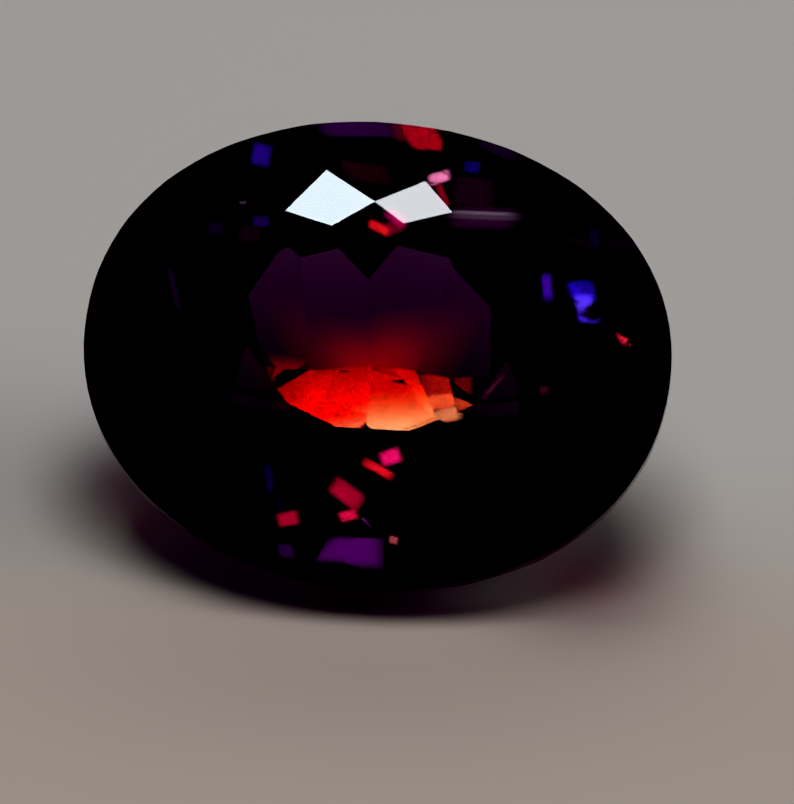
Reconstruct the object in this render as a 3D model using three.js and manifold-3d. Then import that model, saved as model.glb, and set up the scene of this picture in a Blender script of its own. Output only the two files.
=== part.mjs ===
// A loose faceted alexandrite: one oval stone, lying on a pavilion facet as it does on a table.
// Millimetres, +Z up. The stone is cut with its table up and its girdle at z = 0, and laid down
// at the end. Facet names follow the cutter's: table, stars, kites, rhombs and upper girdle
// facets above the girdle; mains, breaks, tops and lower girdle facets below it.
import * as THREE from 'three';
import { mergeVertices } from 'three/addons/utils/BufferGeometryUtils.js';
import Module from 'manifold-3d';

// Outline, seen from above the table
const HALF_LENGTH = 4.46;
const HALF_WIDTH_NEAR = 3.74;
const HALF_WIDTH_FAR = 3.66;
const OVAL_POWER = 2.1;          // 2 is an ellipse, and a little more has fuller shoulders
const GIRDLE_SIDES = 96;

// Heights
const CROWN_HEIGHT = 1.1;
const GIRDLE_THICKNESS = 0.22;
const PAVILION_DEPTH = 3.7;

// The facets are laid out on a round stone of this radius, which is stretched along X
const NET_RADIUS = (HALF_WIDTH_NEAR + HALF_WIDTH_FAR) / 2;
const STRETCH = HALF_LENGTH / NET_RADIUS;
const NET_TURN = 7;              // degrees that the net is turned on the outline

// Crown: radii are shares of the net's radius, and angles are degrees from level
const CROWN_FACETS = 12;
const TABLE_RADIUS = 0.455;
const TABLE_SHIFT = 0.01;        // the table sits a little off the middle, along +X
const STAR_ANGLE = 16.5;
const KITE_ANGLE = 22;
const RHOMB_ANGLE = 29;

// The stone is cut by hand, so these facets are off the even net by some degrees
const TABLE_CORNER_DRIFT = [0, 1.5, 4, 5, 3, 1, -2, 3, -3, -1.5, -1, -1.5];
const KITE_DRIFT = [0, 0, 6, 2, -1.5, 0, 0, 0, 0, 0, 0, 0];
const KITE_TILT = [0, -1.5, -2.5, 0.5, -1, 0, 0, 0, 0, 0, 0, 0];
const STAR_TILT = [0, -3, -1, 1.5, 0, 0, 0, 0, 0, 0, 0, 0];
const RHOMB_TILT = [0, -1.5, -3, 2, 0, 0, 0, 0, 0, 0, 0, 0];

// Pavilion: wide mains round a short keel, the first of them the facet that the stone rests on
const MAIN_ANGLES = [38, 40, 44, 45, 39, 42, 42, 41, 45, 44, 40];
const MAIN_DRIFT = [0, 0, 0, 0, 3, 1, 3, 2, 0, 0, 0];
const MAINS = MAIN_ANGLES.length;
const KEEL_HALF = 0.42;          // half of the keel's length, as a share of the net's radius
const KEEL_SHIFT = 0.07;         // the keel sits a little beyond the middle, away from the rest
const BREAK_RADIUS = 0.44;       // where the facets between two mains begin
const BREAK_STEEPER = [5.5, 5.5, 5.5, 3, 2, 5.5, 4, 3, 5.5, 5.5, 5.5];
const TOP_RADIUS = 0.53;         // where the facets above the mains begin
const TOP_STEEPER = 7;
const RADIUS_AT_ENDS = 0.05;     // how much further out those facets begin at the stone's ends
const LOWER_GIRDLE_STEEPER = 13;

// Larger than the stone, for the rough and for the laps that grind it
const ROUGH_DEPTH = 12;
const LAP_SIZE = 40;

const GEM = new THREE.MeshStandardMaterial({ color: 0x1c0420, roughness: 0.03, metalness: 0 });

const wasm = await Module();
wasm.setup();

const radians = THREE.MathUtils.degToRad;
const girdleTop = GIRDLE_THICKNESS / 2;
const girdleFoot = -GIRDLE_THICKNESS / 2;
const tableHeight = girdleTop + CROWN_HEIGHT;
const netTurn = radians(NET_TURN);

function toSolid(geometry) {
  const bare = geometry.index ? geometry.clone() : geometry;
  bare.deleteAttribute('normal');
  bare.deleteAttribute('uv');
  const merged = mergeVertices(bare);
  return new wasm.Manifold(new wasm.Mesh({
    numProp: 3,
    vertProperties: new Float32Array(merged.attributes.position.array),
    triVerts: new Uint32Array(merged.index.array),
  }));
}

function toGeometry(solid) {
  const mesh = solid.getMesh();
  const geometry = new THREE.BufferGeometry();
  geometry.setAttribute('position', new THREE.BufferAttribute(mesh.vertProperties, 3));
  geometry.setIndex(new THREE.BufferAttribute(mesh.triVerts, 1));
  return geometry;
}

// A point of the girdle's outline on the round net
function girdlePoint(azimuth, height) {
  const c = Math.cos(azimuth);
  const s = Math.sin(azimuth);
  const halfWidth = s > 0 ? HALF_WIDTH_FAR : HALF_WIDTH_NEAR;
  const reach = (Math.abs(c) ** OVAL_POWER + Math.abs(s) ** OVAL_POWER) ** (-1 / OVAL_POWER);
  return new THREE.Vector3(NET_RADIUS * reach * c, halfWidth * reach * s, height);
}

function netPoint(azimuth, radius, height) {
  return new THREE.Vector3(radius * Math.cos(azimuth), radius * Math.sin(azimuth), height);
}

// A facet's plane on the net: side is 1 for the crown and -1 for the pavilion
function facet(azimuth, angle, point, side) {
  const slope = radians(angle);
  const normal = new THREE.Vector3(
    Math.sin(slope) * Math.cos(azimuth),
    Math.sin(slope) * Math.sin(azimuth),
    side * Math.cos(slope),
  );
  return new THREE.Plane().setFromNormalAndCoplanarPoint(normal, point);
}

// A facet that contains the level chord between two points
function chordFacet(from, to, angle, side) {
  const azimuth = Math.atan2(from.x - to.x, to.y - from.y);
  return facet(azimuth, angle, from, side);
}

function facetThrough(a, b, c) {
  const plane = new THREE.Plane().setFromCoplanarPoints(a, b, c);
  return plane.constant > 0 ? plane.negate() : plane;
}

// The point where three facets meet
function meet(p, q, r) {
  const point = new THREE.Vector3();
  for (const [a, b, c] of [[p, q, r], [q, r, p], [r, p, q]]) {
    point.addScaledVector(new THREE.Vector3().crossVectors(b.normal, c.normal), -a.constant);
  }
  const spread = p.normal.dot(new THREE.Vector3().crossVectors(q.normal, r.normal));
  return point.divideScalar(spread);
}

// The pavilion's surface above a point of the net, where the given facets are all that is cut
function pavilionHeight(facets, x, y) {
  const heights = facets.map(({ normal, constant }) => (
    -(constant + normal.x * x + normal.y * y) / normal.z
  ));
  return Math.max(...heights);
}

function next(list, i) {
  return list[(i + 1) % list.length];
}

function before(list, i) {
  return list[(i + list.length - 1) % list.length];
}

// The angle halfway to the next one round the stone
function halfway(angles, i) {
  const wrap = i === angles.length - 1 ? 2 * Math.PI : 0;
  return (angles[i] + next(angles, i) + wrap) / 2;
}

function crownFacets() {
  const step = 360 / CROWN_FACETS;
  const evenly = Array.from({ length: CROWN_FACETS }, (_, i) => NET_TURN + step * (i + 0.5));
  const corners = evenly.map((angle, i) => {
    const azimuth = radians(angle + TABLE_CORNER_DRIFT[i]);
    const corner = netPoint(azimuth, TABLE_RADIUS * NET_RADIUS, tableHeight);
    corner.x += TABLE_SHIFT * NET_RADIUS;
    return corner;
  });
  const azimuths = evenly.map((angle, i) => radians(angle + KITE_DRIFT[i]));
  const table = facet(0, 0, corners[0], 1);
  const kites = azimuths.map((azimuth, i) => facet(azimuth, KITE_ANGLE + KITE_TILT[i], corners[i], 1));
  const stars = corners.map((corner, i) => (
    chordFacet(corner, next(corners, i), STAR_ANGLE + STAR_TILT[i], 1)
  ));
  const starTips = stars.map((star, i) => meet(star, kites[i], next(kites, i)));
  const rhombs = starTips.map((tip, i) => (
    facet(halfway(azimuths, i), RHOMB_ANGLE + RHOMB_TILT[i], tip, 1)
  ));
  const kiteTips = kites.map((kite, i) => meet(kite, before(rhombs, i), rhombs[i]));

  const upperGirdle = [];
  const onGirdle = (point) => girdlePoint(Math.atan2(point.y, point.x), girdleTop);
  kiteTips.forEach((tip, i) => {
    const foot = onGirdle(tip);
    upperGirdle.push(facetThrough(tip, foot, onGirdle(starTips[i])));
    upperGirdle.push(facetThrough(tip, foot, onGirdle(before(starTips, i))));
  });
  return [table, ...stars, ...kites, ...rhombs, ...upperGirdle];
}

function pavilionFacets() {
  const keelway = netPoint(netTurn, 1, 0);
  const keelHeight = girdleFoot - PAVILION_DEPTH;
  const keelMiddle = netPoint(netTurn + Math.PI / 2, KEEL_SHIFT * NET_RADIUS, keelHeight);
  const azimuths = MAIN_DRIFT.map((drift, i) => radians(NET_TURN - 90 + (360 / MAINS) * i + drift));
  const mains = azimuths.map((azimuth, i) => {
    const alongKeel = KEEL_HALF * NET_RADIUS * Math.cos(azimuth - netTurn);
    return facet(azimuth, MAIN_ANGLES[i], keelMiddle.clone().addScaledVector(keelway, alongKeel), -1);
  });

  const onMains = (azimuth, share) => {
    const atEnds = RADIUS_AT_ENDS * Math.cos(azimuth - netTurn) ** 2;
    const point = netPoint(azimuth, (share + atEnds) * NET_RADIUS, 0);
    point.z = pavilionHeight(mains, point.x, point.y);
    return point;
  };
  const betweenAngles = MAIN_ANGLES.map((angle, i) => (angle + next(MAIN_ANGLES, i)) / 2);
  const breaks = azimuths.map((_, i) => {
    const azimuth = halfway(azimuths, i);
    return facet(azimuth, betweenAngles[i] + BREAK_STEEPER[i], onMains(azimuth, BREAK_RADIUS), -1);
  });
  const tops = azimuths.map((azimuth, i) => (
    facet(azimuth, MAIN_ANGLES[i] + TOP_STEEPER, onMains(azimuth, TOP_RADIUS), -1)
  ));

  const lowerGirdle = [];
  azimuths.forEach((azimuth, i) => {
    const overMain = girdlePoint(azimuth, girdleFoot);
    const overBreak = girdlePoint(halfway(azimuths, i), girdleFoot);
    const overNext = girdlePoint(next(azimuths, i), girdleFoot);
    const chords = [
      [overMain, overBreak, MAIN_ANGLES[i]],
      [overBreak, overNext, next(MAIN_ANGLES, i)],
    ];
    for (const [from, to, mainAngle] of chords) {
      const angle = (mainAngle + betweenAngles[i]) / 2 + LOWER_GIRDLE_STEEPER;
      lowerGirdle.push(chordFacet(from, to, angle, -1));
    }
  });
  return { rest: mains[0], facets: [...mains, ...breaks, ...tops, ...lowerGirdle] };
}

// The facet's plane on the oval stone
function stretched(plane) {
  const normal = plane.normal.clone();
  normal.x /= STRETCH;
  const size = normal.length();
  return new THREE.Plane(normal.divideScalar(size), plane.constant / size);
}

// The block that a lap takes away when it grinds a facet
function lap(plane) {
  const block = new THREE.BoxGeometry(LAP_SIZE, LAP_SIZE, LAP_SIZE);
  block.translate(0, 0, LAP_SIZE / 2);
  const up = new THREE.Vector3(0, 0, 1);
  block.applyQuaternion(new THREE.Quaternion().setFromUnitVectors(up, plane.normal));
  const foot = plane.coplanarPoint(new THREE.Vector3());
  block.translate(foot.x, foot.y, foot.z);
  return toSolid(block);
}

// The rough: an upright prism of the girdle's outline
function rough() {
  const outline = new THREE.Shape(Array.from({ length: GIRDLE_SIDES }, (_, i) => {
    const point = girdlePoint((2 * Math.PI * i) / GIRDLE_SIDES, 0);
    return new THREE.Vector2(point.x * STRETCH, point.y);
  }));
  const prism = new THREE.ExtrudeGeometry(outline, { depth: ROUGH_DEPTH, bevelEnabled: false });
  prism.translate(0, 0, -ROUGH_DEPTH / 2);
  return toSolid(prism);
}

function cutStone(facets) {
  return facets.reduce((stone, plane) => stone.subtract(lap(stretched(plane))), rough());
}

// Turns the stone so that the facet it rests on faces down, with the table tipped toward -Y
function layDown(geometry, restPlane) {
  const { normal } = stretched(restPlane);
  geometry.rotateZ(-Math.PI / 2 - Math.atan2(normal.y, normal.x));
  geometry.rotateX(Math.acos(-normal.z));
  geometry.computeBoundingBox();
  const { min, max } = geometry.boundingBox;
  geometry.translate(-(min.x + max.x) / 2, -(min.y + max.y) / 2, -min.z);
  return geometry;
}

const { rest, facets } = pavilionFacets();
const stone = toGeometry(cutStone([...crownFacets(), ...facets]));

const gemstone = new THREE.Mesh(layDown(stone, rest), GEM);
gemstone.name = 'gemstone';

const alexandrite = new THREE.Group();
alexandrite.add(gemstone);

export default alexandrite;
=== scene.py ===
"""A loose faceted alexandrite lying on a pale surface, in soft studio light.

Lengths are in millimetres and angles in degrees, unless a line says otherwise. A direction is
given by its azimuth, which is 0 at -Y and 90 at +X, and its elevation.
"""
import math
from typing import NamedTuple

import bpy
from mathutils import Matrix, Vector

MM = 0.001

# The picture's frame, in pixels, and the place of the girdle's centre in it and in the part's frame
PICTURE_WIDTH = 794
PICTURE_HEIGHT = 804
PIXELS_PER_MM = 66.04
GIRDLE_CENTRE_PX = (377.6, 352.1)
GIRDLE_CENTRE = Vector((0.0, -0.02, 2.85))

CAMERA_AZIMUTH = 3.2
CAMERA_ELEVATION = 33.4
CAMERA_DISTANCE = 150
SENSOR_WIDTH = 36
CLIP_START_M = 0.01
CLIP_END_M = 10

# The crystal: its index of refraction, and how much red, green and blue it absorbs in a millimetre.
# The density is any number above all three
IOR = 1.75
ABSORPTION = (0.68, 1.02, 0.66)
ABSORPTION_DENSITY = 1.25

# The pale surface lies a hair below the facet that the stone rests on, with room for a lamp between
FLOOR_HEIGHT = -0.02
EMBER_HEIGHT = -0.01
FLOOR_HALF_M = 1.0
FLOOR_ROUGHNESS = 0.8

# The surface's colour, and the warmer tint that it takes on toward -Y, with the places on Y where
# the tint starts and where it is whole
SURFACE = (0.632, 0.608, 0.581)
NEAR_TINT = (0.95, 0.85, 0.77)
TINT_STARTS = 3.0
TINT_IS_WHOLE = -4.0

# Round tints that darken the surface where the photo's shadow is deeper: centre, radii and colour
# Painted shadow: these patches darken the surface's own colour to deepen the stone's shadow, and no lamp
# casts them
PAINTED_SHADES = {
    "front": ((0.0, -4.3), (5.0, 2.2), (0.84, 0.8, 0.82)),
    "left": ((-3.95, 0.5), (0.9, 1.3), (0.25, 0.17, 0.2)),
    "left_wide": ((-5.6, 0.6), (2.4, 2.4), (0.8, 0.82, 0.84)),
    "right": ((3.3, -1.7), (1.5, 1.65), (0.3, 0.2, 0.23)),
    "contact": ((0.3, -2.7), (2.2, 0.3), (0.35, 0.25, 0.28)),
}
SHADE_POWER = 2

# The spread of a lamp that shines as widely as it can
WIDEST = 180

# The studio's lamps stand at one distance from the stone: direction, size and radiance
STUDIO_DISTANCE = 300
WORLD_STRENGTH = 0.002
SURFACE_LAMPS = {
    "key": ((100, 88), (190, 190), (4.3, 4.3, 4.3)),
    "side": ((95, 34), (240, 160), (0.9, 0.9, 0.9)),
}
WINDOWS = {
    "window_a": ((176, 71), (50, 40), (8.2, 8.5, 8.9)),
    "window_b": ((-155, 64), (50, 40), (9.3, 10.9, 11.9)),
}
SOFTBOXES = {
    "softbox_left": ((-140, 12), (110, 60), (2.2, 2.3, 2.5)),
    "softbox_back": ((172, 12), (110, 60), (2.2, 2.3, 2.5)),
    "softbox_right": ((122, 12), (110, 60), (2.2, 2.3, 2.5)),
    "softbox_top": ((20, 85), (50, 50), (3.0, 3.1, 3.3)),
}

# Low lamps that tinge the ends of the shadow: centre, turn, size and radiance
FRINGE_HEIGHT = 0.5
FRINGES = {
    "fringe_left": ((-3.95, 0.2), 8, (0.5, 1.9), (0.07, 0.0, 0.002)),
    "fringe_right": ((3.2, -1.85), 35, (0.6, 1.6), (0.08, 0.0, 0.004)),
}

# The red lamp under the stone's far side. Its edges are at its reach, in radii, where it has faded
# almost to nothing
EMBER_CENTRE = (-0.11, 2.53)
EMBER_RADII = (0.6, 0.255)
EMBER_REACH = 2.0
EMBER_COLOUR = (17.0, 0.0, 0.0)
EMBER_SPREAD = 80
EMBER_POWER = 2


class Card(NamedTuple):
    """A graded lamp close over the crown, which is seen deep in the stone.

    A line of sight leaves the stone at the exit point, toward a direction, and crosses the lamp.
    Low and high are the lamp's corners, measured from that crossing along the lamp's own axes,
    which are turned from the level. The colour changes along the slope, which is in level axes:
    each stop is a distance from the crossing and the colour seen there past a length of crystal.
    """
    exit_point: tuple
    toward: tuple
    turn: float
    low: tuple
    high: tuple
    spread: float
    slope: tuple
    length: float
    stops: tuple


# The fire in the table's lower half, and how far before the exit points its lamps stand
CARD_GAP = 1.0
CARDS = {
    "right_card": Card(
        exit_point=(-0.944, 0.884, 4.83),
        toward=(-36, 57),
        turn=31,
        low=(-0.25, -0.37),
        high=(1.02, 0.46),
        spread=32,
        slope=(-0.22, 1.0),
        length=10.5,
        stops=(
            (-0.45, (0.66, 0, 0)),
            (-0.12, (1.19, 0.007, 0)),
            (0, (1.45, 0.035, 0.0035)),
            (0.12, (1.58, 0.114, 0.018)),
            (0.24, (1.67, 0.264, 0.066)),
            (0.36, (1.76, 0.458, 0.158)),
            (0.5, (1.85, 0.65, 0.255)),
        ),
    ),
    "left_card": Card(
        exit_point=(0.78, 0.87, 4.81),
        toward=(44, 57),
        turn=-30.5,
        low=(-1.12, -0.19),
        high=(0.03, 0.66),
        spread=40,
        slope=(0.68, 1.0),
        length=10.5,
        stops=(
            (-0.3, (0.48, 0, 0)),
            (-0.1, (0.82, 0, 0)),
            (0.1, (1.3, 0, 0)),
            (0.2, (1.5, 0, 0)),
            (0.35, (1.7, 0.003, 0)),
            (0.47, (1.7, 0.02, 0.001)),
            (0.59, (1.7, 0.1, 0.03)),
            (0.7, (1.8, 0.28, 0.1)),
        ),
    ),
    "far_card": Card(
        exit_point=(1.9, 1.4, 4.85),
        toward=(70, 38),
        turn=0,
        low=(-0.3, -0.3),
        high=(0.4, 0.35),
        spread=30,
        slope=(1.0, -0.8),
        length=10.84,
        stops=(
            (-0.13, (0.52, 0, 0)),
            (0, (0.65, 0, 0)),
            (0.1, (0.95, 0, 0)),
            (0.3, (1.5, 0, 0)),
        ),
    ),
}

# A triangle whose corners are nearer than this to a facet's plane belongs to that facet
SAME_PLANE = 0.001

# A line of sight is followed to so many facets inside the stone. A way to the light is used if it
# brings a large enough share, is short enough and leaves room for a lamp above the surface
MOST_MEETINGS = 6
LEAST_SHARE = 0.05
LONGEST_WAY = 16
LEAST_ROOM = 0.1

# The shares of a fleck's reach at which its ways to the light are looked for
LOOKS = (-0.9, -0.6, -0.3, 0.0, 0.3, 0.6, 0.9)

# The lamps of the flecks: their gap to the stone, the spread of their light and the powers that
# make a crisp and a soft edge. At a lamp's own edge its light has faded to exp(-FADED)
FLASH_GAP = 0.4
FLASH_SPREAD = 3
CRISP = 6
SOFT = 2
FADED = 3.5


class Fleck(NamedTuple):
    """A fleck of light in the picture: centre, reach along and across, in pixels, and colour.

    Where it names pixels to look through, it shows only by the ways to the light of those pixels.
    It is seen through the stone, or mirrored by the stone's surface.
    """
    centre: tuple
    along: tuple
    across: tuple
    colour: tuple
    throughs: tuple = ()
    edge: float = CRISP
    is_mirrored: bool = False


FLECKS = {
    "pink": Fleck((390.5, 457), (9, -3), (2.5, 6.5), (0.8, 0.006, 0.12)),
    "red_sliver": Fleck((378, 469), (13, 7), (-2, 3.5), (0.66, 0.006, 0.012)),
    "crimson": Fleck((347, 494), (13, 9.5), (-5, 7), (0.38, 0.001, 0.02)),
    "crimson_small": Fleck((348.5, 515.5), (8, -2), (2, 4.5), (0.65, 0.006, 0.045)),
    "crimson_left": Fleck((288, 519), (9.5, -2), (1.5, 6.5), (0.36, 0.002, 0.02)),
    "purple_left": Fleck((348, 550), (25, 1.5), (11, -11), (0.063, 0.0003, 0.1), ((337, 549),)),
    "purple_right": Fleck((352, 549.5), (28, 1), (1, 16), (0.063, 0.0003, 0.1), ((366, 548), (352, 553))),
    "purple_small": Fleck((286, 551), (7, 1), (1.5, 6.5), (0.014, 0.001, 0.032)),
    "blue_left": Fleck((268.5, 478), (3.5, 0.5), (1, 13), (0.0018, 0.0005, 0.026)),
    "blue_left_low": Fleck((278.5, 504), (2.5, 0), (0.5, 5), (0.0006, 0.0001, 0.007)),
    "blue_quad_top": Fleck((581.5, 291), (11.5, 0.5), (2.5, 9), (0.012, 0.003, 0.4)),
    "blue_quad_low": Fleck((586, 308), (9, 0), (3, 13), (0.085, 0.03, 0.87)),
    "violet": Fleck((547, 287), (4.5, 0), (1, 12.5), (0.035, 0.004, 0.25)),
    "red_right": Fleck((623.5, 339), (4.5, 0.5), (3, 6), (0.5, 0.014, 0.03)),
    "red_dim": Fleck((544, 391), (4, 0), (0, 4.5), (0.034, 0.006, 0.011)),
    "tiny": Fleck((393.5, 540), (4, 1), (-0.5, 3.5), (0.3, 0.045, 0.05)),
    "pink_far": Fleck((439, 177.5), (9.5, -3), (1.5, 5), (0.9, 0.19, 0.45)),
    "red_by_kite": Fleck((442.5, 195), (4.5, 11), (3, -1), (0.17, 0.004, 0.008)),
    "red_far": Fleck((379.5, 228), (9.5, 4.5), (-1.5, 4), (0.65, 0.007, 0.009)),
    "red_far_dim": Fleck((394, 227), (8, -3), (2, 6), (0.12, 0.001, 0.008)),
    "pink_on_kite": Fleck((396.5, 217.5), (8.5, 7), (-4, 4.5), (0.3, 0.003, 0.06)),
    "dark_red": Fleck((366, 173), (22, 3), (4, 10), (0.008, 0.0, 0.002)),
    "blue_far": Fleck((261.5, 155), (8.5, 2), (-2, 10), (0.012, 0.001, 0.17)),
    "blue_far_low": Fleck((261, 221.5), (7.5, 0), (1, 5), (0.0075, 0.0015, 0.053)),
    "blue_far_left": Fleck((215, 228), (7.5, 0), (0, 5.5), (0.0033, 0.0, 0.008)),
    "violet_left": Fleck((174, 288), (3.5, 3), (4, 20), (0.005, 0.0005, 0.008)),
    "violet_right": Fleck((594, 238), (5, 0), (1, 10), (0.0015, 0.0, 0.009)),
    "magenta": Fleck((473, 193), (20, 3), (-2, 15), (0.007, 0.0, 0.004)),
    "maroon": Fleck((250, 234), (11, 0), (0, 8), (0.005, 0.0, 0.003)),
    "glow_end": Fleck((447, 386), (26, 0), (4, 11), (0.36, 0.006, 0.002), ((437, 387),)),
    "glow_end_middle": Fleck((441, 402), (17, -1), (-3, 7.5), (0.9, 0.075, 0.018), ((441, 401),)),
    "glow_end_low": Fleck(
        (447, 414), (15, -3), (-2, 8), (0.72, 0.17, 0.06), ((444, 413), (448, 418), (457, 416))),
    "glow_end_right": Fleck((463, 404), (11, -1), (0, 7), (0.45, 0.03, 0.006), ((461, 404),)),
    "glow_tip": Fleck((463, 386), (8, 0), (0, 9), (0.11, 0.001, 0.001), ((466, 385), (457, 381))),
    "glow_gap": Fleck((388, 371), (15, 3), (0, 4.5), (0.32, 0.001, 0.001), ((385, 371),)),
    "glow_gap_right": Fleck((406, 376), (14, 3), (0, 6.5), (0.45, 0.002, 0.001), ((408, 375),)),
    "glow_start": Fleck(
        (279, 372), (10, 2), (2, 9), (0.13, 0.001, 0.001), ((279, 371), (273, 374), (270, 371))),
    "arc": Fleck((491, 389), (12, -13.5), (1.2, 1.4), (0.02, 0.0025, 0.005)),
    "rim_red": Fleck((422, 135), (14, 1), (6, 12.5), (2.85, 0.006, 0.057)),
    "rim_red_dim": Fleck((402, 131), (9, 0), (3, 9), (0.05, 0.001, 0.003)),
    "blue_rim": Fleck((472, 167), (7, 1), (-1, 5), (0.005, 0.0, 0.09)),
    "purple_rim": Fleck((358, 129), (34, 0), (4, 7), (0.019, 0.0, 0.033)),
    "violet_rim": Fleck((498, 149), (18, 8), (-4, 5), (0.0045, 0.0, 0.0095)),
    "glow_above": Fleck((290, 370), (27, 3), (0, 8), (0.17, 0.0005, 0.001), ((287, 364),), edge=SOFT),
    "band": Fleck((483, 218), (30, 1), (-3, 10), (0.016, 0.004, 0.015), is_mirrored=True),
    "band_top": Fleck((484, 215.5), (34, 1.5), (-1, 4), (0.03, 0.018, 0.03), is_mirrored=True),
    "band_edge": Fleck((480, 213), (30, 1.2), (0, 1.6), (0.06, 0.05, 0.06), is_mirrored=True),
    "tick": Fleck((243, 202.5), (3.5, 0), (0, 1.5), (0.025, 0.022, 0.03), is_mirrored=True),
}

# What is taken off the picture's red, green and blue, so that its darkest parts are black
BLACK_LEVEL = (0.0006, 0.0034, 0.0006)


# Directions and places

def sky(azimuth, elevation):
    """The unit vector toward a direction."""
    a = math.radians(azimuth)
    e = math.radians(elevation)
    return Vector((math.sin(a) * math.cos(e), -math.cos(a) * math.cos(e), math.sin(e)))


def level_axis(heading):
    """The level direction across a heading."""
    return Vector((0, 0, 1)).cross(heading).normalized()


def place_with_axes(thing, place, right, back):
    """Stands a lamp or the camera at a place, with its own X and Z axes along right and back."""
    turn = Matrix((right, back.cross(right), back)).transposed()
    thing.matrix_world = Matrix.Translation(place * MM) @ turn.to_4x4()


def link(thing):
    bpy.context.scene.collection.objects.link(thing)
    return thing


# Camera

toward_camera = sky(CAMERA_AZIMUTH, CAMERA_ELEVATION)
camera_right = level_axis(toward_camera)
camera_up = toward_camera.cross(camera_right)


def picture_point(pixel):
    """The point that a pixel shows in the plane through the girdle's centre."""
    across = (pixel[0] - GIRDLE_CENTRE_PX[0]) / PIXELS_PER_MM
    down = (pixel[1] - GIRDLE_CENTRE_PX[1]) / PIXELS_PER_MM
    return GIRDLE_CENTRE + camera_right * across - camera_up * down


eye = picture_point((PICTURE_WIDTH / 2, PICTURE_HEIGHT / 2)) + toward_camera * CAMERA_DISTANCE


def add_camera():
    data = bpy.data.cameras.new("camera")
    data.sensor_fit = "HORIZONTAL"
    data.sensor_width = SENSOR_WIDTH
    data.lens = SENSOR_WIDTH * CAMERA_DISTANCE * PIXELS_PER_MM / PICTURE_WIDTH
    data.clip_start = CLIP_START_M
    data.clip_end = CLIP_END_M
    camera = link(bpy.data.objects.new("camera", data))
    place_with_axes(camera, eye, camera_right, toward_camera)
    bpy.context.scene.camera = camera


# A line of sight, followed through the stone

class Facet(NamedTuple):
    """A facet's plane: its outward normal, and its distance from the origin."""
    normal: Vector
    distance: float


class Way(NamedTuple):
    """A way to the light: the share of the light that it brings, and where it leaves the stone.

    The place and the heading are those with which it leaves. The length is the way inside the
    stone, and the facets that it met are numbers, in the order from the eye.
    """
    share: float
    place: Vector
    heading: Vector
    length: float
    met: tuple


def facets_of(stone):
    """The stone's facets. A facet is several triangles, and the largest gives the truest normal."""
    facets = []
    for face in sorted(stone.data.polygons, key=lambda face: -face.area):
        corners = [stone.data.vertices[i].co / MM for i in face.vertices]
        if not any(all(abs(n.dot(corner) - d) < SAME_PLANE for corner in corners) for n, d in facets):
            facets.append(Facet(face.normal.copy(), face.normal.dot(corners[0])))
    return facets


def fresnel(cosine, ratio):
    """The share of light that an interface mirrors. Ratio is the index behind it over the one before."""
    squared = ratio ** 2 - 1 + cosine ** 2
    if squared <= 0:
        return 1.0
    bent = math.sqrt(squared)
    across = (cosine - bent) / (cosine + bent)
    along = (ratio ** 2 * cosine - bent) / (ratio ** 2 * cosine + bent)
    return (across ** 2 + along ** 2) / 2


def refracted(heading, normal, ratio):
    """The heading past an interface whose normal points against the light."""
    cosine = -heading.dot(normal)
    bent = math.sqrt(max(0, 1 - (1 - cosine ** 2) / ratio ** 2))
    return heading / ratio + normal * (cosine / ratio - bent)


def mirrored(heading, normal):
    return heading - normal * (2 * heading.dot(normal))


def ways_of_light(facets, pixel, kept_to=()):
    """A pixel's ways to the light. The first is mirrored by the stone's surface.

    Facets that are kept to are met in their order, even beyond their edges. Otherwise a pixel
    beside the stone has no ways.
    """
    def reach(i):
        normal, distance = facets[i]
        return (distance - normal.dot(place)) / normal.dot(heading)

    place = eye
    heading = (picture_point(pixel) - eye).normalized()
    facing = [i for i, facet in enumerate(facets) if facet.normal.dot(heading) < 0]
    beyond = [i for i, facet in enumerate(facets) if facet.normal.dot(heading) > 0]
    if not kept_to and max(map(reach, facing)) > min(map(reach, beyond)):
        return []
    met = (kept_to[0] if kept_to else max(facing, key=reach),)
    normal = facets[met[0]].normal
    place = place + heading * reach(met[0])
    share = fresnel(-heading.dot(normal), IOR)
    ways = [Way(share, place, mirrored(heading, normal), 0, met)]
    share = 1 - share
    heading = refracted(heading, normal, IOR)
    length = 0
    most = len(kept_to) - 1 if kept_to else MOST_MEETINGS
    for step in range(1, most + 1):
        ahead = [i for i, facet in enumerate(facets) if i != met[-1] and facet.normal.dot(heading) > 0]
        met += (kept_to[step] if kept_to else min(ahead, key=reach),)
        length += reach(met[-1])
        place = place + heading * reach(met[-1])
        normal = facets[met[-1]].normal
        kept_in = fresnel(heading.dot(normal), 1 / IOR)
        if kept_in < 1:
            ways.append(Way(share * (1 - kept_in), place, refracted(heading, -normal, 1 / IOR), length, met))
        share *= kept_in
        heading = mirrored(heading, normal)
    return ways


def facets_met(facets, pixel, is_mirrored):
    """The facets met on a pixel's mirrored way, or on the brightest of the others that are used.

    It is None if there is no such way.
    """
    ways = ways_of_light(facets, pixel)
    if is_mirrored:
        return ways[0].met if ways else None
    bright = [way for way in ways[1:] if way.share > LEAST_SHARE and way.length < LONGEST_WAY]
    roomy = [way for way in bright if way.heading.z > 0 or way.place.z > LEAST_ROOM]
    return max(roomy, key=lambda way: way.share).met if roomy else None


def before_absorption(colour, length):
    """The colour that is seen as the one given, once it has passed a length of the crystal."""
    return [c * math.exp(a * length) for c, a in zip(colour, ABSORPTION)]


# Nodes

def math_node(tree, operation, *values):
    """The output of a math node. Values are numbers or sockets."""
    node = tree.nodes.new("ShaderNodeMath")
    node.operation = operation
    for socket, value in zip(node.inputs, values):
        if isinstance(value, bpy.types.NodeSocket):
            tree.links.new(value, socket)
        else:
            socket.default_value = value
    return node.outputs[0]


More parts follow.
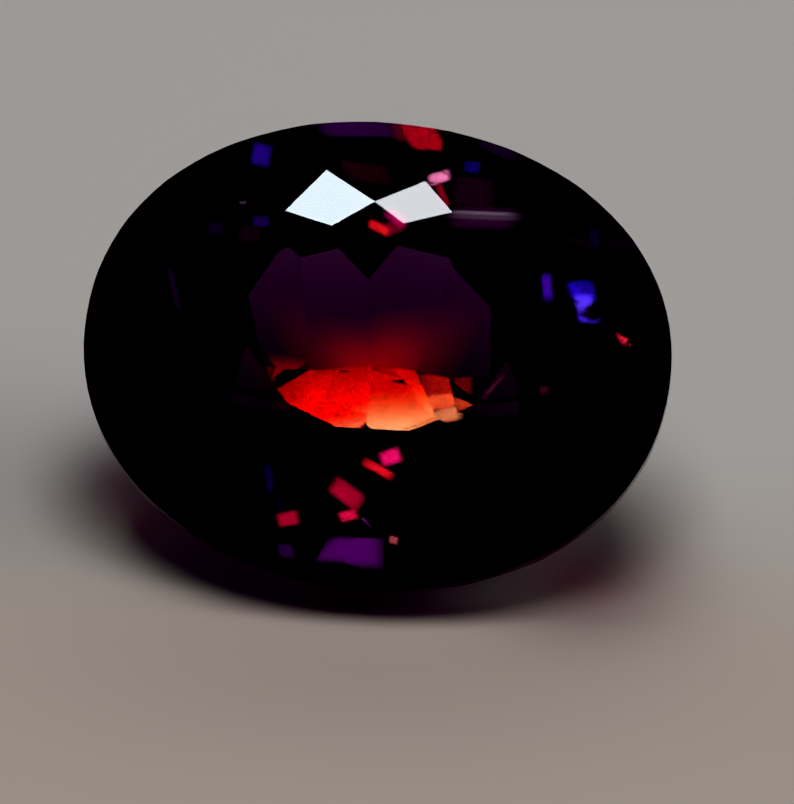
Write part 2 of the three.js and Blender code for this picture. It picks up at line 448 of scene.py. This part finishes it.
def distance_along(tree, centre, axis):
    """A socket with the distance from a centre along an axis."""
    away = tree.nodes.new("ShaderNodeVectorMath")
    away.operation = "SUBTRACT"
    tree.links.new(tree.nodes.new("ShaderNodeNewGeometry").outputs["Position"], away.inputs[0])
    away.inputs[1].default_value = centre * MM
    along = tree.nodes.new("ShaderNodeVectorMath")
    along.operation = "DOT_PRODUCT"
    tree.links.new(away.outputs[0], along.inputs[0])
    along.inputs[1].default_value = axis / MM
    return along.outputs["Value"]


def fading(tree, centre, axes, power):
    """A socket that is 1 at a centre and fades along axes, each as long as one over its radius."""
    total = 0.0
    for axis in axes:
        off = math_node(tree, "ABSOLUTE", distance_along(tree, centre, axis))
        total = math_node(tree, "ADD", math_node(tree, "POWER", off, power), total)
    return math_node(tree, "EXPONENT", math_node(tree, "MULTIPLY", total, -1.0))


def level_axes(radii):
    """The axes along X and Y of a fading with radii."""
    return Vector((1 / radii[0], 0, 0)), Vector((0, 1 / radii[1], 0))


def tinted(tree, colour, factor, tint):
    """A colour socket that is tinted by a factor. The colour before is a colour or a socket."""
    mix = tree.nodes.new("ShaderNodeMix")
    mix.data_type = "RGBA"
    mix.blend_type = "MULTIPLY"
    before, after = (socket for socket in mix.inputs if socket.type == "RGBA")
    tree.links.new(factor, mix.inputs["Factor"])
    if isinstance(colour, bpy.types.NodeSocket):
        tree.links.new(colour, before)
    else:
        before.default_value = (*colour, 1)
    after.default_value = (*tint, 1)
    return next(socket for socket in mix.outputs if socket.type == "RGBA")


# Materials

def new_material(name):
    material = bpy.data.materials.new(name)
    material.use_nodes = True
    return material, material.node_tree


def gem_material():
    """Clear polished crystal, which absorbs green the most."""
    material, tree = new_material("alexandrite")
    shader = tree.nodes["Principled BSDF"]
    shader.inputs["Base Color"].default_value = (1, 1, 1, 1)
    shader.inputs["Roughness"].default_value = 0.0
    shader.inputs["IOR"].default_value = IOR
    shader.inputs["Transmission Weight"].default_value = 1.0
    absorption = tree.nodes.new("ShaderNodeVolumeAbsorption")
    kept = [1 - a / ABSORPTION_DENSITY for a in ABSORPTION]
    absorption.inputs["Color"].default_value = (*kept, 1)
    absorption.inputs["Density"].default_value = ABSORPTION_DENSITY / MM
    tree.links.new(absorption.outputs["Volume"], tree.nodes["Material Output"].inputs["Volume"])
    return material


def floor_material():
    material, tree = new_material("floor")
    shader = tree.nodes["Principled BSDF"]
    shader.inputs["Roughness"].default_value = FLOOR_ROUGHNESS
    nearness = tree.nodes.new("ShaderNodeMapRange")
    nearness.interpolation_type = "SMOOTHSTEP"
    nearness.inputs["From Min"].default_value = TINT_STARTS
    nearness.inputs["From Max"].default_value = TINT_IS_WHOLE
    origin = Vector((0, 0, 0))
    tree.links.new(distance_along(tree, origin, Vector((0, 1, 0))), nearness.inputs["Value"])
    colour = tinted(tree, SURFACE, nearness.outputs["Result"], NEAR_TINT)
    # Painted shade: each patch darkens the surface's colour where the stone's shadow falls
    for centre, radii, tint in PAINTED_SHADES.values():
        shade = fading(tree, Vector((*centre, 0)), level_axes(radii), SHADE_POWER)
        colour = tinted(tree, colour, shade, tint)
    tree.links.new(colour, shader.inputs["Base Color"])
    return material


# The stone and the surface

def dress(stone):
    """Gives the stone its material and flat facets.

    Rays that the surface scatters pass the stone by, so that the lamps close to it throw no stray
    light on the surface.
    """
    stone.data.materials.clear()
    stone.data.materials.append(gem_material())
    for face in stone.data.polygons:
        face.use_smooth = False
    stone.visible_diffuse = False


def add_floor():
    half = FLOOR_HALF_M
    mesh = bpy.data.meshes.new("floor")
    corners = [(-half, -half, 0), (half, -half, 0), (half, half, 0), (-half, half, 0)]
    mesh.from_pydata(corners, [], [(0, 1, 2, 3)])
    floor = link(bpy.data.objects.new("floor", mesh))
    floor.location = (0, 0, FLOOR_HEIGHT * MM)
    floor.data.materials.append(floor_material())


# Lamps

def add_lamp(name, place, heading, right, size, colour, spread=WIDEST):
    """A rectangular lamp of an even radiance, which is its colour.

    The lamp shines away from its heading, and right is its own X axis.
    """
    data = bpy.data.lights.new(name, "AREA")
    data.shape = "RECTANGLE"
    data.size = size[0] * MM
    data.size_y = size[1] * MM
    peak = max(colour)
    data.color = [c / peak for c in colour]
    data.spread = math.radians(spread)
    # The same energy makes a lamp brighter where its spread is narrower
    half = data.spread / 2
    narrowing = 1 - half / math.tan(half) if spread < WIDEST else 1
    data.energy = peak * math.pi * data.size * data.size_y * narrowing
    lamp = link(bpy.data.objects.new(name, data))
    place_with_axes(lamp, place, right, heading)
    return lamp


def show_lamp_to(lamp, surface=False, mirrors=False, inside=False):
    """Lets a lamp be seen by the surface, by mirroring facets and through the stone, or not."""
    lamp.visible_diffuse = surface
    lamp.visible_glossy = mirrors
    lamp.visible_transmission = inside


def grade(lamp, axis, stops):
    """Colours a lamp along an axis: each stop is a distance from its centre and a colour."""
    lamp.data.use_nodes = True
    tree = lamp.data.node_tree
    first = stops[0][0]
    last = stops[-1][0]
    peak = max(max(colour) for _, colour in stops)
    ramp = tree.nodes.new("ShaderNodeValToRGB")
    while len(ramp.color_ramp.elements) < len(stops):
        ramp.color_ramp.elements.new(1.0)
    for element, (distance, colour) in zip(ramp.color_ramp.elements, stops):
        element.position = (distance - first) / (last - first)
        element.color = (*(c / peak for c in colour), 1)
    centre = lamp.matrix_world.translation / MM
    past = math_node(tree, "SUBTRACT", distance_along(tree, centre, axis), first)
    tree.links.new(math_node(tree, "DIVIDE", past, last - first), ramp.inputs["Fac"])
    emission = tree.nodes["Emission"]
    tree.links.new(ramp.outputs["Color"], emission.inputs["Color"])
    emission.inputs["Strength"].default_value = peak


def fade(lamp, axes, power):
    """Fades a lamp away from its centre along axes, each as long as one over its radius."""
    lamp.data.use_nodes = True
    tree = lamp.data.node_tree
    strength = tree.nodes["Emission"].inputs["Strength"]
    kept = fading(tree, lamp.matrix_world.translation / MM, axes, power)
    tree.links.new(math_node(tree, "MULTIPLY", kept, strength.default_value), strength)


def add_studio_lamp(name, toward, size, colour):
    heading = sky(*toward)
    place = GIRDLE_CENTRE + heading * STUDIO_DISTANCE
    return add_lamp(name, place, heading, level_axis(heading), size, colour)


def add_world():
    world = bpy.data.worlds.new("world")
    world.use_nodes = True
    background = world.node_tree.nodes["Background"]
    background.inputs["Color"].default_value = (1, 1, 1, 1)
    background.inputs["Strength"].default_value = WORLD_STRENGTH
    bpy.context.scene.world = world


def add_surface_lamps():
    """The large soft lamps, overhead and at the right, which light the surface around the shadow.

    The rays that the surface scatters pass the stone by. They would light the shadow too if they
    could find these lamps.
    """
    for name, (toward, size, colour) in SURFACE_LAMPS.items():
        lamp = add_studio_lamp(name, toward, size, colour)
        show_lamp_to(lamp, surface=True)
        lamp.data.cycles.use_multiple_importance_sampling = False


def add_windows():
    """The lamps that the two kites on the far side mirror."""
    for name, (toward, size, colour) in WINDOWS.items():
        lamp = add_studio_lamp(name, toward, size, colour)
        show_lamp_to(lamp, mirrors=True, inside=True)


def add_softboxes():
    """Lamps that show only mirrored by facets, and only when the stone is seen from other sides."""
    for name, (toward, size, colour) in SOFTBOXES.items():
        lamp = add_studio_lamp(name, toward, size, colour)
        show_lamp_to(lamp, mirrors=True)


def add_fringes():
    """The low red lamps that tinge the ends of the stone's shadow."""
    for name, (centre, turn, size, colour) in FRINGES.items():
        angle = math.radians(turn)
        right = Vector((math.cos(angle), math.sin(angle), 0))
        lamp = add_lamp(name, Vector((*centre, FRINGE_HEIGHT)), Vector((0, 0, 1)), right, size, colour)
        show_lamp_to(lamp, surface=True)


def add_ember():
    """The lamp lying on the surface under the stone's far side, seen through the stone."""
    size = [2 * EMBER_REACH * radius for radius in EMBER_RADII]
    place = Vector((*EMBER_CENTRE, EMBER_HEIGHT))
    ember = add_lamp(
        "ember", place, Vector((0, 0, -1)), Vector((1, 0, 0)), size, EMBER_COLOUR, EMBER_SPREAD)
    show_lamp_to(ember, mirrors=True, inside=True)
    fade(ember, level_axes(EMBER_RADII), EMBER_POWER)


def add_card(name, card):
    heading = sky(*card.toward)
    level = level_axis(heading)
    upright = heading.cross(level)
    angle = math.radians(card.turn)
    right = level * math.cos(angle) + upright * math.sin(angle)
    up = heading.cross(right)
    middle = Vector(card.exit_point) + heading * CARD_GAP
    low = card.low
    high = card.high
    centre = middle + right * (low[0] + high[0]) / 2 + up * (low[1] + high[1]) / 2
    size = (high[0] - low[0], high[1] - low[1])
    lamp = add_lamp(name, centre, heading, right, size, (1, 1, 1), card.spread)
    show_lamp_to(lamp, inside=True)
    axis = level * card.slope[0] + upright * card.slope[1]
    shift = (middle - centre).dot(axis)
    stops = [(distance + shift, before_absorption(colour, card.length)) for distance, colour in card.stops]
    grade(lamp, axis, stops)


# Flecks

def add_flash(name, facets, fleck, met):
    """A small lamp close to the stone that shows a fleck by way of the facets met."""
    def way_at(reach):
        pixel = (fleck.centre[0] + reach[0], fleck.centre[1] + reach[1])
        return ways_of_light(facets, pixel, met)[-1]

    way = way_at((0, 0))
    heading = way.heading
    gap = FLASH_GAP / heading.dot(facets[met[-1]].normal)
    if heading.z < 0:
        # The lamp goes at most halfway down to the surface
        gap = min(gap, way.place.z / -heading.z / 2)
    middle = way.place + heading * gap

    def side(reach):
        """The part of the lamp's plane that shows at a reach from the fleck's centre."""
        beside = way_at(reach)
        past = (middle - beside.place).dot(heading) / beside.heading.dot(heading)
        return beside.place + beside.heading * past - middle

    one = side(fleck.along)
    other = side(fleck.across)
    right = one.normalized()
    up = heading.cross(right)
    stretch = FADED ** (1 / fleck.edge)
    size = (2 * stretch * (one.length + abs(other.dot(right))), 2 * stretch * abs(other.dot(up)))
    colour = before_absorption([c / way.share for c in fleck.colour], way.length)
    lamp = add_lamp(name, middle, heading, right, size, colour, FLASH_SPREAD)
    show_lamp_to(lamp, mirrors=fleck.is_mirrored, inside=not fleck.is_mirrored)
    past_other = other.cross(heading)
    past_one = one.cross(heading)
    fade(lamp, (past_other / past_other.dot(one), past_one / past_one.dot(other)), fleck.edge)


def add_fleck(name, facets, fleck):
    """A fleck in the picture, made by a lamp on each of the ways to the light that show it."""
    def part(u, v):
        """The pixel at shares of the fleck's reach along and across."""
        return tuple(c + u * a + v * b for c, a, b in zip(fleck.centre, fleck.along, fleck.across))

    pixels = fleck.throughs or [part(u, v) for u in LOOKS for v in LOOKS]
    ways = {facets_met(facets, pixel, fleck.is_mirrored) for pixel in pixels} - {None}
    ends = (part(0, 0), part(1, 0), part(0, 1))
    for met in sorted(ways):
        if all(ways_of_light(facets, end, met)[-1].met == met for end in ends):
            add_flash("_".join([name, *map(str, met)]), facets, fleck, met)


def set_view():
    view = bpy.context.scene.view_settings
    view.view_transform = "Standard"
    view.use_curve_mapping = True
    view.curve_mapping.black_level = BLACK_LEVEL


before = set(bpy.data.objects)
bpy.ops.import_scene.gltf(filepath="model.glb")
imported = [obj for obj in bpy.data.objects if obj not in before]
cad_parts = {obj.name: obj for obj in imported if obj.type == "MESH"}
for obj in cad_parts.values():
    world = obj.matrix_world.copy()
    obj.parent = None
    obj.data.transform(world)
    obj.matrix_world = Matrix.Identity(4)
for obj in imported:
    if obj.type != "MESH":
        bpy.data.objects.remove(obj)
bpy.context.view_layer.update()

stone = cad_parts["gemstone"]
dress(stone)
facets = facets_of(stone)

add_camera()
add_world()
add_floor()
add_surface_lamps()
add_windows()
add_softboxes()
add_fringes()
for name, card in CARDS.items():
    add_card(name, card)
add_ember()
for name, fleck in FLECKS.items():
    add_fleck(name, facets, fleck)
set_view()
